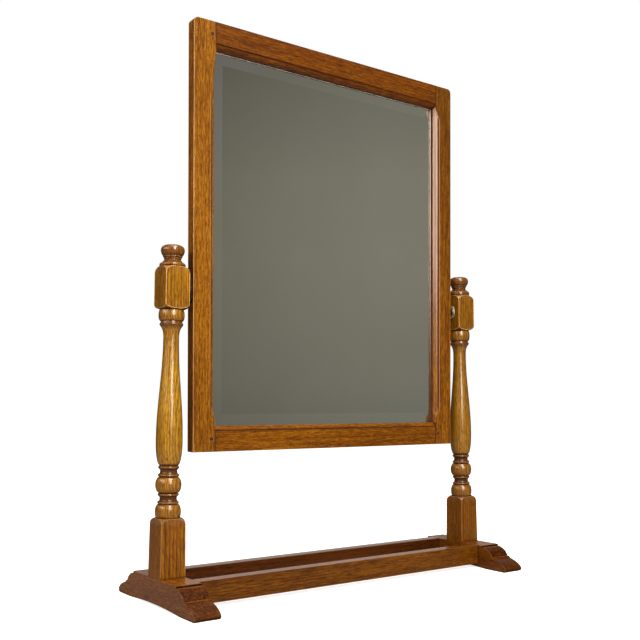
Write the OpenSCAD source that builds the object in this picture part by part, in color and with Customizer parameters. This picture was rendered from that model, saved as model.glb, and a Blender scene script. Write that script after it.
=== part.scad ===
// Dressing table mirror: two feet and two rails carry a pair of turned posts,
// and a framed bevelled mirror swings between the posts on two pivots.
// Millimetres. X runs across the mirror, +Y is its back, Z is up.
// The origin is on the ground, in the middle between the feet.

/* [Mirror] */
// Width of the mirror frame
mirror_width = 485.4; // [460:0.2:510]
// Height of the mirror frame
mirror_height = 597.8; // [560:0.2:640]
// Share of the frame's height that lies above the pivots
upper_share = 0.628; // [0.6:0.002:0.65]
// Thickness of the frame
frame_thickness = 16; // [15.5:0.1:19]
// Width of a stile
stile_width = 34.4; // [33:0.2:38]
// Width of the top rail
top_rail_width = 37; // [36:0.2:42]
// Width of the bottom rail
bottom_rail_width = 36; // [36:0.2:42]
// Radius of the frame's upper corners
top_corner = 7; // [3:0.5:9]
// Radius of the frame's lower corners
bottom_corner = 2; // [1:0.5:6]
// Thickness of the glass
glass_thickness = 4.6; // [4:0.1:5]
// Width of the bevel that shows on the glass
bevel_width = 16.5; // [8:0.5:18]

/* [Moulding] */
// Width of the ovolo worked on the frame's inner edge
ovolo_width = 9; // [6:0.5:10]
// Length of the run-out at each end of the ovolo
stop_length = 28; // [16:1:34]

/* [Stand] */
// Space between the mirror frame and a post at the pivot
pivot_gap = 10.2; // [9.5:0.1:12]
// Room under the frame when it is turned upside down
swing_room = 12.6; // [8:0.1:20]
// Lean of each post towards the mirror, in degrees
post_lean = 1; // [0:0.1:1.5]
// Height of the feet
foot_height = 37.4; // [36:0.1:42]
// Width of a foot
foot_width = 37.8; // [37.4:0.2:46]
// Half length of a foot
foot_reach = 116; // [112:0.2:125]
// Height of the hollow under a foot
arch_rise = 3; // [1:0.5:5]
// Distance from the middle to the outer face of a rail
rail_face = 55.6; // [48:0.1:58]
// Thickness of a rail
rail_thickness = 18.8; // [16:0.1:20]
// Height of a rail
rail_height = 30.7; // [28:0.1:33]

/* [Posts] */
// Width of the square block at a post's foot
base_block = 37; // [35.6:0.1:37.4]
// Width of the square block that holds the pivot
pivot_block = 35.4; // [34:0.2:36.4]
// Height of the left post's base block
left_block_height = 79.3; // [74:0.1:82]
// Height of the right post's base block, turned by eye and a little lower
right_block_height = 76; // [74:0.1:82]
// Radius of the lower turned balls
ball_radius = 17.5; // [16.8:0.1:18]
// Largest radius of the vase-shaped shaft
vase_radius = 18; // [16.5:0.1:18.8]
// Radius of the shaft's neck
neck_radius = 10.6; // [9:0.1:11.5]
// Radius of the button on top
button_radius = 16.1; // [14.5:0.1:17]

/* [Fittings] */
// Diameter of a pivot pin
pin_diameter = 6; // [5:0.1:6.5]
// Diameter of the pegs through the frame's joints
peg_diameter = 6; // [4:0.1:7]

/* [Hidden] */
$fn = 96;

oak = "peru";
dark_oak = "saddlebrown";
brass = "darkkhaki";
steel = "dimgray";

// Heights and the sight opening of the mirror frame
upper_height = mirror_height * upper_share;
pivot_height = foot_height + swing_room + upper_height;
frame_top = pivot_height + upper_height;
frame_bottom = frame_top - mirror_height;
half_width = mirror_width / 2;
front_y = -frame_thickness / 2;
back_y = frame_thickness / 2;
sight_x = half_width - stile_width;
sight_top = frame_top - top_rail_width;
sight_bottom = frame_bottom + bottom_rail_width;

// Joints of the frame
tenon_length = 27;
tenon_front = front_y + 4.8;
tenon_thickness = 6;
tenon_inset = 7;
peg_inset = 6;
peg_proud = 0.4;

// Glass, rebate and back board
rebate = 6;
glass_front = back_y - glass_thickness;
bevel_drop = 1.4;
bevel_full = bevel_width + rebate - 0.3;
rebate_front = glass_front + 0.8;
glass_play = 0.3;
board_thickness = 4;
board_overlap = 8;
board_half_x = sight_x + rebate + board_overlap;
board_top = sight_top + rebate + board_overlap;
board_bottom = sight_bottom - rebate - board_overlap;

// Ovolo on the inner edges and its run-outs
ovolo_depth = 8.5;
quirk = 1;
ovolo_end = 20;
stop_overcut = 0.3;
stop_deep = (ovolo_width + quirk) / sqrt(2) + stop_overcut;
stop_radius = (stop_length * stop_length + stop_deep * stop_deep) / (2 * stop_deep);
top_land = 3;
bottom_land = 8;

// Posts: distances along a post's axis start at the foot's top
pivot_along = (pivot_height - foot_height) / cos(post_lean);
block_face_x = half_width + pivot_gap;
post_x = block_face_x + pivot_block / 2 + tan(post_lean) * (pivot_height - foot_height);
base_shoulder = 9.5;
base_narrowing = 0.4;
base_tuck = 3;
head_top = 29.2;
head_shoulders = [8, 11];
shoulder_clearance = 0.3;
vase_start_radius = 12.4;
vase_widest = 181;

// Heights of the turnings on each post, left then right: the pair was turned by eye
block_heights = [left_block_height, right_block_height];
lower_ball_tops = [97.7, 95.2];
upper_ball_tops = [133.9, 131.2];
head_ball_drops = [44.4, 48.2];
head_drops = [28.4, 29.9];
collar_lifts = [0, 2.2];
post_tenon_radius = 10;
post_tenon_length = 25;
post_peg_radius = 2.5;
post_peg_length = 31;
post_peg_drop = 6.2;
fit = 0.05;

// Feet and rails
flat_half = foot_reach * 0.563;
rail_top = foot_height;
rail_bottom = rail_top - rail_height;
rail_end = post_x - foot_width / 2;
rail_tenon = [15, 9, 20];

// Pivot fittings, listed outwards from the frame's side
plate_thickness = 2.5;
seat_depth = 0.5;
frame_plate_size = [12, 34];
post_plate_size = [15, 21];
collar_radius = 5;
washer_thickness = 1.6;
washer_radius = 6.2;
pin_radius = pin_diameter / 2;
seat_x = block_face_x + seat_depth;
post_plate_x = seat_x - plate_thickness;
washer_x = post_plate_x - washer_thickness;
frame_plate_end = half_width + plate_thickness;
pin_root = 7;
rivet_gap = 0.2;
rivet_length = 1.8;
pocket_depth = 4.5;
pocket_radius = 5.6;
frame_screw_offset = 11.5;
post_screw_offset = 7.2;

// Countersunk screw
screw_radius = 1.4;
screw_head = 2.4;
screw_tip = 0.3;
screw_length = 11;

// A half ellipse standing out from (or, with a smaller swell, cut into) a turning
function bulge(low, high, edge, swell, steps = 12) =
    [for (i = [0:steps]) let (a = -90 + 180 * i / steps)
        [edge + (swell - edge) * cos(a), (low + high) / 2 + (high - low) / 2 * sin(a)]];

// A curve from a to c that leans towards b
function curve(a, b, c, steps = 10) =
    [for (i = [0:steps]) let (t = i / steps) (1 - t) * (1 - t) * a + 2 * t * (1 - t) * b + t * t * c];

// The vase: a quick swell at its foot, then a long taper to the neck
function vase(low, widest, high) = concat(
    [for (i = [1:12]) let (a = -90 + 90 * i / 12)
        [vase_start_radius + (vase_radius - vase_start_radius) * cos(a), widest + (widest - low) * sin(a)]],
    [for (i = [1:24]) let (t = i / 24)
        [neck_radius + (vase_radius - neck_radius) * (1 + cos(180 * t)) / 2, widest + (high - widest) * t]]);

// Outline of the lower turning, from inside the base block up to the pivot block
function lower_turning(side) =
    let (block = block_heights[side], first = lower_ball_tops[side], second = upper_ball_tops[side],
        ball = pivot_along - head_ball_drops[side], head = pivot_along - head_drops[side])
    concat(
        [[0, block - 12], [12, block - 12]],
        bulge(block - base_tuck, first, 12.8, ball_radius),
        bulge(first + 0.2, first + 3.6, 13, 14.5, 8),
        bulge(first + 3.6, first + 11, 13.7, 11.5),
        bulge(first + 11, first + 14.2, 12.8, 14.3, 8),
        bulge(first + 14.8, second, 12.3, ball_radius),
        bulge(second + 0.6, second + 4, 12.8, 14.4, 8),
        bulge(second + 4, second + 11.2, 13.7, 11.4),
        bulge(second + 11.2, second + 14.8, 12.4, 14.2, 8),
        vase(second + 15.9, vase_widest, ball - 23.1),
        curve([neck_radius, ball - 21], [neck_radius, ball - 11.8], [14.8, ball - 6.9]),
        bulge(ball - 6.4, ball - 2.6, 14.9, 15.9, 6),
        [[14.5, ball - 1.4], [14.5, ball - 0.4]],
        bulge(ball, head, 15, ball_radius),
        [[13.6, head + 0.4], [13.6, head + 10], [0, head + 10]]);

// Outline of the upper turning: collar, neck, two beads and button
function upper_turning(lift) =
    let (collar = pivot_along + head_top, cap = collar + 4 + lift)
    concat(
        [[0, collar - 9], [13.6, collar - 9], [16.6, collar - 0.2]],
        curve([16.8, collar + 0.3], [17.6, collar + 0.5], [17.6, collar + 1.6], 5),
        curve([17.6, cap - 1.6], [17.6, cap - 0.5], [16.8, cap], 5),
        curve([16.2, cap + 0.5], [13.4, cap + 1.9], [11.2, cap + 5.4]),
        [[10.9, cap + 6.1]],
        bulge(cap + 6.3, cap + 8.3, 11.1, 12, 6),
        bulge(cap + 8.7, cap + 10.7, 12.2, 13.2, 6),
        curve([13.5, cap + 11.2], [button_radius - 0.5, cap + 13.4], [button_radius, cap + 17.6]),
        curve([button_radius, cap + 18], [button_radius - 0.1, cap + 23.6], [10, cap + 25.1]),
        [[2.5, cap + 25.8], [0, cap + 25.8]]);

// Outline of the turned shoulders that round off a block's corners, which lie
// at the radii given for its low and its high end
function shoulders(low, high, inner, corners, rises) =
    let (outer = [corners[0] + shoulder_clearance, corners[1] + shoulder_clearance])
    concat(
        [[0, low]],
        [for (i = [0:8]) let (a = 90 * i / 8)
            [inner + (outer[0] - inner) * sin(a), low + rises[0] * (1 - cos(a))]],
        [for (i = [0:8]) let (a = 90 - 90 * i / 8)
            [inner + (outer[1] - inner) * sin(a), high - rises[1] * (1 - cos(a))]],
        [[0, high]]);

// Side outline of a foot: hollow underneath, and a step, an ovolo, a fillet and a toe at each end
function foot_half() = concat(
    [[foot_reach - 3, 0], [foot_reach - 0.8, 0.6]],
    curve([foot_reach, 2], [foot_reach - 1.9, 12], [foot_reach - 24.6, 18.4]),
    [[foot_reach - 25.4, 20.6], [foot_reach - 29.4, 20.9]],
    curve([foot_reach - 29.8, 21.2], [foot_reach - 33.9, foot_height - 5.7], [flat_half + 2.4, foot_height - 2.9]),
    [[flat_half + 0.3, foot_height - 2.7], [flat_half, foot_height]]);
arch_half = foot_reach * 0.65;
arch_radius = (arch_half * arch_half + arch_rise * arch_rise) / (2 * arch_rise);
function foot_outline() = concat(
    foot_half(),
    [for (i = [len(foot_half()) - 1:-1:0]) [-foot_half()[i][0], foot_half()[i][1]]],
    [for (i = [0:24]) let (y = -arch_half + 2 * arch_half * i / 24)
        [y, arch_rise - arch_radius + sqrt(arch_radius * arch_radius - y * y)]]);

module on_side(right) {
    if (right) children();
    else mirror([1, 0, 0]) children();
}

// Everything below draws the right-hand side; on_side mirrors it for the left
module along_post() {
    translate([post_x, 0, foot_height]) rotate([0, -post_lean, 0]) children();
}

module at_pivot() {
    translate([0, 0, pivot_height]) rotate([0, 90, 0]) children();
}

module peg_hole(radius) {
    translate([post_x, 0, foot_height - post_peg_drop]) rotate([0, 90, 0])
        translate([0, 0, foot_width / 2 - post_peg_length]) cylinder(r = radius, h = post_peg_length + 1);
}

module foot(right) {
    color(oak) on_side(right) difference() {
        translate([post_x - foot_width / 2, 0, 0]) rotate([90, 0, 90])
            linear_extrude(foot_width) polygon(foot_outline());
        along_post() translate([0, 0, -post_tenon_length - 1])
            cylinder(r = post_tenon_radius + fit, h = post_tenon_length + 4);
        for (end = [-1, 1])
            rail_tenon_block(end);
        peg_hole(post_peg_radius);
    }
}

// Tenon of the rail on one side of the middle, where it enters the right foot
module rail_tenon_block(end) {
    y = end * (rail_face - rail_thickness / 2);
    translate([rail_end - 1, y - rail_tenon[1] / 2, (rail_top + rail_bottom - rail_tenon[2]) / 2])
        cube([rail_tenon[0] + 1, rail_tenon[1], rail_tenon[2]]);
}

module stretcher(end) {
    low_y = end > 0 ? rail_face - rail_thickness : -rail_face;
    color(oak) union() {
        translate([-rail_end, low_y, rail_bottom]) cube([2 * rail_end, rail_thickness, rail_height]);
        rail_tenon_block(end);
        mirror([1, 0, 0]) rail_tenon_block(end);
    }
}

// Square block that narrows evenly on all four faces
module tapered_block(half, narrowing, low, high) {
    face = [[-half, low], [half, low], [half - narrowing * 2, high], [-half + narrowing * 2, high]];
    intersection() {
        rotate([90, 0, 0]) translate([0, 0, -half - 1]) linear_extrude(2 * half + 2) polygon(face);
        rotate([90, 0, 90]) translate([0, 0, -half - 1]) linear_extrude(2 * half + 2) polygon(face);
    }
}

module post_solid(side) {
    block = block_heights[side];
    head_low = pivot_along - head_drops[side];
    head_high = pivot_along + head_top;
    base_corners = [base_block / 2, base_block / 2 - 2 * base_narrowing] * sqrt(2);
    head_corners = [pivot_block / 2, pivot_block / 2] * sqrt(2);
    along_post() {
        intersection() {
            tapered_block(base_block / 2, base_narrowing, -2, block);
            rotate_extrude() polygon(shoulders(-2, block, 16, base_corners, [0.5, base_shoulder]));
        }
        intersection() {
            translate([-pivot_block / 2, -pivot_block / 2, head_low])
                cube([pivot_block, pivot_block, head_high - head_low]);
            rotate_extrude() polygon(shoulders(head_low, head_high, 15.5, head_corners, head_shoulders));
        }
        rotate_extrude() polygon(lower_turning(side));
        rotate_extrude() polygon(upper_turning(collar_lifts[side]));
    }
}

module post(right) {
    color(oak) on_side(right) difference() {
        union() {
            difference() {
                post_solid(right ? 1 : 0);
                translate([post_x - 40, -40, foot_height - 20]) cube([80, 80, 20]);
            }
            along_post() translate([0, 0, -post_tenon_length])
                cylinder(r = post_tenon_radius, h = post_tenon_length + 10);
        }
        peg_hole(post_peg_radius);
        at_pivot() {
            translate([0, 0, seat_x - 3]) oblong(post_plate_size, 3);
            cylinder(r = pocket_radius, h = seat_x + pocket_depth);
        }
        post_screw_places() screw(0);
    }
}

module post_pegs() {
    color(dark_oak) for (right = [false, true]) on_side(right)
        translate([post_x + foot_width / 2 - post_peg_length, 0, foot_height - post_peg_drop])
            rotate([0, 90, 0]) cylinder(r = post_peg_radius, h = post_peg_length);
}

// Plate with round ends, its length along the pivot frame's X
module oblong(size, thickness) {
    straight = size[1] - size[0];
    translate([-straight / 2, -size[0] / 2, 0]) cube([straight, size[0], thickness]);
    for (end = [-1, 1])
        translate([end * straight / 2, 0, 0]) cylinder(d = size[0], h = thickness);
}

// Screw that points along +Z, its head flush with the plane z = 0
module screw(slot) {
    difference() {
        rotate_extrude() polygon([
            [0, 0], [screw_head, 0], [screw_head, 0.3], [screw_radius, 0.3 + screw_head - screw_radius],
            [screw_radius, screw_length - 2], [screw_tip, screw_length], [0, screw_length]]);
        if (slot > 0)
            translate([-screw_head - 1, -0.35, -1]) cube([2 * screw_head + 2, 0.7, 1 + slot]);
    }
}

module post_screw_places() {
    at_pivot() for (end = [-1, 1])
        translate([end * post_screw_offset, 0, post_plate_x]) children();
}

module frame_screw_places() {
    at_pivot() for (end = [-1, 1])
        translate([end * frame_screw_offset, 0, frame_plate_end]) rotate([180, 0, 0]) children();
}

module post_plate(right) {
    color(brass) on_side(right) difference() {
        at_pivot() translate([0, 0, post_plate_x]) oblong(post_plate_size, plate_thickness);
        at_pivot() cylinder(r = pin_radius + fit, h = seat_x + 1);
        post_screw_places() screw(0);
    }
}

module frame_plate(right) {
    color(steel) on_side(right) difference() {
        at_pivot() translate([0, 0, half_width]) oblong(frame_plate_size, plate_thickness);
        at_pivot() cylinder(r = pin_radius, h = seat_x + 1);
        frame_screw_places() screw(0);
    }
}

module pivot_pin(right) {
    color(steel) on_side(right) at_pivot() {
        translate([0, 0, half_width - pin_root])
            cylinder(r = pin_radius, h = pin_root + seat_x - half_width + rivet_gap + rivet_length / 2);
        translate([0, 0, frame_plate_end])
            cylinder(r = collar_radius, h = washer_x - frame_plate_end);
        translate([0, 0, seat_x + rivet_gap])
            cylinder(r1 = collar_radius, r2 = collar_radius - 0.8, h = rivet_length);
    }
}

module washer(right) {
    color(brass) on_side(right) at_pivot() translate([0, 0, washer_x]) difference() {
        cylinder(r = washer_radius, h = washer_thickness);
        translate([0, 0, -1]) cylinder(r = pin_radius + fit, h = washer_thickness + 2);
    }
}

module post_plate_screws() {
    color(brass) for (right = [false, true]) on_side(right) post_screw_places() screw(0.8);
}

module frame_plate_screws() {
    color(steel) for (right = [false, true]) on_side(right) frame_screw_places() screw(0.8);
}

// Section of the ovolo cutter, with the wood towards +X and +Y
ovolo_section = concat(
    [[-1, -1], [ovolo_width, -1], [ovolo_width, quirk]],
    [for (i = [1:10]) let (a = 90 - (90 - ovolo_end) * i / 10)
        [ovolo_width * (1 - cos(a) / cos(ovolo_end)),
            ovolo_depth - (ovolo_depth - quirk) * (sin(a) - sin(ovolo_end)) / (1 - sin(ovolo_end))]],
    [[-1, ovolo_depth]]);

// Cutter for a stopped ovolo: the edge lies along +Z
module ovolo_cutter(length) {
    reach = (stop_radius - stop_deep) / sqrt(2);
    translate([0, 0, stop_length]) linear_extrude(length - 2 * stop_length) polygon(ovolo_section);
    for (z = [stop_length, length - stop_length])
        intersection() {
            translate([0, 0, z - stop_length - 1]) linear_extrude(2 * stop_length + 2) polygon(ovolo_section);
            translate([-reach, -reach, z]) rotate([90, 0, 45]) translate([0, 0, -30])
                cylinder(r = stop_radius, h = 60, $fn = 180);
        }
}

module frame_tenon(high) {
    low_z = high ? sight_top + tenon_inset : frame_bottom + tenon_inset;
    height = (high ? top_rail_width : bottom_rail_width) - 2 * tenon_inset;
    translate([sight_x - 1, tenon_front, low_z]) cube([tenon_length + 1, tenon_thickness, height]);
}

module frame_peg_places() {
    for (z = [(frame_top + sight_top) / 2, (frame_bottom + sight_bottom) / 2])
        translate([sight_x + peg_inset, 0, z]) rotate([90, 0, 0]) children();
}

module stile(right) {
    corner_x = half_width;
    color(oak) on_side(right) difference() {
        translate([0, back_y, 0]) rotate([90, 0, 0]) linear_extrude(frame_thickness) union() {
            translate([sight_x, frame_bottom]) square([stile_width - top_corner, mirror_height]);
            translate([sight_x, frame_bottom + bottom_corner])
                square([stile_width, mirror_height - bottom_corner - top_corner]);
            translate([sight_x, frame_bottom]) square([stile_width - bottom_corner, mirror_height / 2]);
            translate([corner_x - top_corner, frame_top - top_corner]) circle(r = top_corner);
            translate([corner_x - bottom_corner, frame_bottom + bottom_corner]) circle(r = bottom_corner);
        }
        translate([sight_x - 1, rebate_front, sight_bottom - rebate])
            cube([rebate + 1, 30, sight_top - sight_bottom + 2 * rebate]);
        for (high = [false, true])
            frame_tenon(high);
        frame_peg_places() translate([0, 0, -30]) cylinder(d = peg_diameter, h = 60);
        translate([sight_x, front_y, sight_bottom + bottom_land])
            ovolo_cutter(sight_top - sight_bottom - bottom_land - top_land);
        at_pivot() translate([0, 0, half_width - pin_root]) cylinder(r = pin_radius, h = pin_root + 1);
        frame_screw_places() screw(0);
        board_screw_places() screw(0);
    }
}

// The ovolo runs through on the rails and is stopped on the stiles
module frame_rail(high) {
    low_z = high ? sight_top : frame_bottom;
    width = high ? top_rail_width : bottom_rail_width;
    color(oak) difference() {
        union() {
            difference() {
                translate([-sight_x, front_y, low_z]) cube([2 * sight_x, frame_thickness, width]);
                translate([sight_x + 1, front_y, high ? sight_top : sight_bottom]) mirror([0, 0, high ? 0 : 1])
                    rotate([0, -90, 0]) linear_extrude(2 * sight_x + 2) polygon(ovolo_section);
            }
            for (right = [false, true])
                on_side(right) frame_tenon(high);
        }
        translate([-sight_x - 1, rebate_front, high ? sight_top - 1 : sight_bottom - rebate])
            cube([2 * sight_x + 2, 30, rebate + 1]);
        for (right = [false, true])
            on_side(right) frame_peg_places() translate([0, 0, -30]) cylinder(d = peg_diameter, h = 60);
        board_screw_places() screw(0);
    }
}

module frame_pegs() {
    color(dark_oak) for (right = [false, true]) on_side(right) frame_peg_places()
        translate([0, 0, -back_y]) cylinder(d = peg_diameter, h = frame_thickness + peg_proud);
}

// Plate glass: a long cut off each front edge makes the bevel
module mirror_glass() {
    size = [sight_x + rebate - glass_play, (sight_top - sight_bottom) / 2 + rebate - glass_play];
    middle = (sight_top + sight_bottom) / 2;
    slope = atan(bevel_drop / bevel_full);
    color("lightsteelblue") difference() {
        translate([-size[0], glass_front, middle - size[1] - glass_play])
            cube([2 * size[0], glass_thickness, 2 * size[1]]);
        for (turn = [0, 90, 180, 270]) {
            out = turn % 180 == 0 ? size[0] : size[1];
            translate([0, glass_front, middle - glass_play]) rotate([0, turn, 0])
                translate([out - bevel_full, 0, 0]) rotate([0, 0, slope])
                    translate([0, -20, -500]) cube([60, 20, 1000]);
        }
    }
}

module board_screw_places() {
    inset = 5;
    for (x = [-board_half_x + inset, board_half_x - inset], step = [0:3])
        translate([x, back_y + board_thickness,
                board_bottom + inset + (board_top - board_bottom - 2 * inset) * step / 3])
            rotate([90, 0, 0]) children();
    for (x = [-board_half_x / 3, board_half_x / 3], z = [board_bottom + inset, board_top - inset])
        translate([x, back_y + board_thickness, z]) rotate([90, 0, 0]) children();
}

module back_board() {
    color(dark_oak) difference() {
        translate([-board_half_x, back_y, board_bottom])
            cube([2 * board_half_x, board_thickness, board_top - board_bottom]);
        board_screw_places() screw(0);
    }
}

module back_screws() {
    color(brass) board_screw_places() screw(0.8);
}

foot(false);  // left_foot
foot(true);  // right_foot
stretcher(-1);  // front_rail
stretcher(1);  // rear_rail
post(false);  // left_post
post(true);  // right_post
post_pegs();
post_plate(false);  // left_post_plate
post_plate(true);  // right_post_plate
post_plate_screws();
stile(false);  // left_stile
stile(true);  // right_stile
frame_rail(true);  // top_rail
frame_rail(false);  // bottom_rail
frame_pegs();
mirror_glass();
back_board();
back_screws();
frame_plate(false);  // left_frame_plate
frame_plate(true);  // right_frame_plate
frame_plate_screws();
pivot_pin(false);  // left_pivot_pin
pivot_pin(true);  // right_pivot_pin
washer(false);  // left_washer
washer(true);  // right_washer
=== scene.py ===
import math

import bpy
from mathutils import Euler, Matrix, Vector


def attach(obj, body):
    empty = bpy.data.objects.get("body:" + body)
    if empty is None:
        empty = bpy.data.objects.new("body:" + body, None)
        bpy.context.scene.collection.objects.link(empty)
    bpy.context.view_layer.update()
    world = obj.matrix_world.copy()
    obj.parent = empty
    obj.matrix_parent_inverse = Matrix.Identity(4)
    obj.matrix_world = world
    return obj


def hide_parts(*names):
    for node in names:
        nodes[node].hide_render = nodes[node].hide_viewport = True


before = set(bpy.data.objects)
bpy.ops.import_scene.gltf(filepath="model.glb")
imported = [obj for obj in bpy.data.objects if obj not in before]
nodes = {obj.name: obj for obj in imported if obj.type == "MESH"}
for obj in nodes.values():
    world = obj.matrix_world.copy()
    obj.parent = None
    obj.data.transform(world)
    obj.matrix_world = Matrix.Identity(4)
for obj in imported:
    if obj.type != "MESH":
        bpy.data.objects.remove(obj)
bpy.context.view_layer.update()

mm = 0.001
scene = bpy.context.scene


def deselectAll():
    if bpy.context.object and bpy.context.object.mode != "OBJECT":
        bpy.ops.object.mode_set(mode="OBJECT")
    bpy.ops.object.select_all(action="DESELECT")


def pick(piece):
    deselectAll()
    piece.select_set(True)
    bpy.context.view_layer.objects.active = piece


def editAll(piece):
    pick(piece)
    bpy.ops.object.mode_set(mode="EDIT")
    bpy.ops.mesh.select_all(action="SELECT")


def leaveEdit():
    bpy.ops.object.mode_set(mode="OBJECT")


def pickWhere(piece, rule):
    # into edit mode with the vertices selected whose place in mm the rule takes
    for vertex in piece.data.vertices:
        vertex.select = rule(vertex.co / mm)
    for flat in list(piece.data.edges) + list(piece.data.polygons):
        flat.select = all(piece.data.vertices[index].select for index in flat.vertices)
    pick(piece)
    bpy.ops.object.mode_set(mode="EDIT")


def applyPlace(piece):
    pick(piece)
    bpy.ops.object.transform_apply(location=True, rotation=True, scale=True)


def applyModifier(piece, kind, **values):
    pick(piece)
    bpy.ops.object.modifier_add(type=kind)
    modifier = piece.modifiers[-1]
    for key, value in values.items():
        setattr(modifier, key, value)
    bpy.ops.object.modifier_apply(modifier=modifier.name)


def drawChain(name, points):
    # a chain of edges in the XZ plane, drawn by extruding one vertex
    deselectAll()
    bpy.ops.mesh.primitive_plane_add(size=mm)
    piece = bpy.context.object
    piece.name = name
    bpy.ops.object.mode_set(mode="EDIT")
    bpy.ops.mesh.merge(type="CENTER")
    bpy.ops.transform.translate(value=(points[0][0] * mm, 0, points[0][1] * mm))
    for before, after in zip(points, points[1:]):
        step = ((after[0] - before[0]) * mm, 0, (after[1] - before[1]) * mm)
        bpy.ops.mesh.extrude_vertices_move(TRANSFORM_OT_translate={"value": step})
    leaveEdit()
    return piece


def spinChain(name, profile, steps):
    # a turning: the chain of (radius, height) points spun round Z
    piece = drawChain(name, profile)
    editAll(piece)
    bpy.ops.mesh.spin(steps=steps, angle=math.tau, center=(0, 0, 0), axis=(0, 0, 1))
    bpy.ops.mesh.select_all(action="SELECT")
    bpy.ops.mesh.remove_doubles(threshold=0.02 * mm)
    bpy.ops.mesh.normals_make_consistent(inside=False)
    leaveEdit()
    return piece


def addBlock(name, centre, size):
    deselectAll()
    bpy.ops.mesh.primitive_cube_add(size=1, location=[value * mm for value in centre])
    piece = bpy.context.object
    piece.name = name
    piece.scale = [value * mm for value in size]
    applyPlace(piece)
    return piece


def bevelArrises(piece, width, segments=3, angle=28):
    applyModifier(
        piece, "BEVEL", width=width * mm, segments=segments, limit_method="ANGLE",
        angle_limit=math.radians(angle), use_clamp_overlap=True,
    )


def copyNode(node, name):
    # the CAD mesh as one skin, for a piece whose arrises get rounded
    deselectAll()
    piece = nodes[node].copy()
    piece.data = nodes[node].data.copy()
    piece.name = name
    piece.parent = None
    for key in list(piece.keys()):
        del piece[key]
    scene.collection.objects.link(piece)
    piece.data.materials.clear()
    editAll(piece)
    bpy.ops.mesh.remove_doubles(threshold=0.01 * mm)
    bpy.ops.mesh.customdata_custom_splitnormals_clear()
    bpy.ops.mesh.dissolve_limited(angle_limit=math.radians(0.4))
    leaveEdit()
    return piece


def weighArrises(piece, rule, sharp=25):
    # bevel weights: the rule gives each sharp edge its share of the full rounding
    mesh = piece.data
    facesOf = {}
    for face in mesh.polygons:
        for key in face.edge_keys:
            facesOf.setdefault(key, []).append(face.normal.copy())
    weights = mesh.attributes.new("bevel_weight_edge", "FLOAT", "EDGE")
    for edge in mesh.edges:
        normals = facesOf.get(edge.key, [])
        if len(normals) != 2 or normals[0].angle(normals[1], 0) < math.radians(sharp):
            continue
        ends = [mesh.vertices[index].co / mm for index in edge.vertices]
        weights.data[edge.index].value = rule((ends[0] + ends[1]) / 2, (ends[1] - ends[0]).normalized())


def bevelByWeight(piece, width, segments=3):
    applyModifier(
        piece, "BEVEL", width=width * mm, segments=segments, limit_method="WEIGHT", use_clamp_overlap=True,
    )


def settle(piece, body, replaced, material, smooth=32):
    # last step of every piece: smooth by angle, material, body and the nodes it stands for
    pick(piece)
    bpy.ops.object.shade_smooth_by_angle(angle=math.radians(smooth))
    applyModifier(piece, "WEIGHTED_NORMAL", mode="FACE_AREA_WITH_ANGLE", weight=90, keep_sharp=True)
    piece.data.materials.clear()
    piece.data.materials.append(material)
    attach(piece, body)
    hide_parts(*replaced)
    return piece


def newTree(name):
    material = bpy.data.materials.new(name)
    material.use_nodes = True
    tree = material.node_tree
    tree.nodes.clear()
    output = tree.nodes.new("ShaderNodeOutputMaterial")
    shader = tree.nodes.new("ShaderNodeBsdfPrincipled")
    tree.links.new(shader.outputs[0], output.inputs[0])
    return material, tree, shader


def put(tree, kind, inputs=None, **settings):
    node = tree.nodes.new("ShaderNode" + kind)
    for key, value in settings.items():
        setattr(node, key, value)
    for key, value in (inputs or {}).items():
        if isinstance(value, bpy.types.NodeSocket):
            tree.links.new(value, node.inputs[key])
        else:
            node.inputs[key].default_value = value
    return node


def ramp(tree, source, stops):
    node = put(tree, "ValToRGB", {0: source})
    band = node.color_ramp
    while len(band.elements) > 1:
        band.elements.remove(band.elements[-1])
    for index, (place, value) in enumerate(stops):
        element = band.elements[0] if index == 0 else band.elements.new(place)
        element.position = place
        element.color = (value, value, value, 1) if isinstance(value, (int, float)) else (*value, 1)
    return node.outputs["Color"]


def blend(tree, factor, first, second, how="MIX"):
    node = put(tree, "Mix", data_type="RGBA", blend_type=how, clamp_factor=True)
    for index, value in ((0, factor), (6, first), (7, second)):
        if isinstance(value, bpy.types.NodeSocket):
            tree.links.new(value, node.inputs[index])
        else:
            node.inputs[index].default_value = (*value, 1) if isinstance(value, tuple) else value
    return node.outputs[2]


def maths(tree, how, first, second=0.0, third=0.0):
    return put(tree, "Math", {0: first, 1: second, 2: third}, operation=how).outputs[0]


def times(tree, *factors):
    product = factors[0]
    for factor in factors[1:]:
        product = maths(tree, "MULTIPLY", product, factor)
    return product


def most(tree, *shares):
    found = shares[0]
    for share in shares[1:]:
        found = maths(tree, "MAXIMUM", found, share)
    return found


def without(tree, share):
    return maths(tree, "SUBTRACT", 1.0, share)


def over(tree, value, limit):
    return maths(tree, "GREATER_THAN", value, limit)


def under(tree, value, limit):
    return maths(tree, "LESS_THAN", value, limit)


def vectorMaths(tree, how, *inputs):
    return put(tree, "VectorMath", dict(enumerate(inputs)), operation=how).outputs


def axisOf(tree, vector, axis):
    return put(tree, "SeparateXYZ", {0: vector}).outputs[axis]


def sizeOf(tree, vector, axis):
    # the same to the left as to the right, or in front as behind
    return maths(tree, "ABSOLUTE", axisOf(tree, vector, axis))


def rampOver(tree, distance, span, stops):
    # a ramp along a distance in the work, its stops in mm
    share = maths(tree, "DIVIDE", distance, span * mm)
    return ramp(tree, share, [(place / span, value) for place, value in stops])


def facingOf(tree):
    return put(tree, "NewGeometry").outputs["Normal"]


def noiseOf(tree, vector, scale, detail=2, roughness=0.5):
    inputs = {"Vector": vector, "Scale": scale, "Detail": detail, "Roughness": roughness}
    return put(tree, "TexNoise", inputs).outputs["Fac"]


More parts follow.
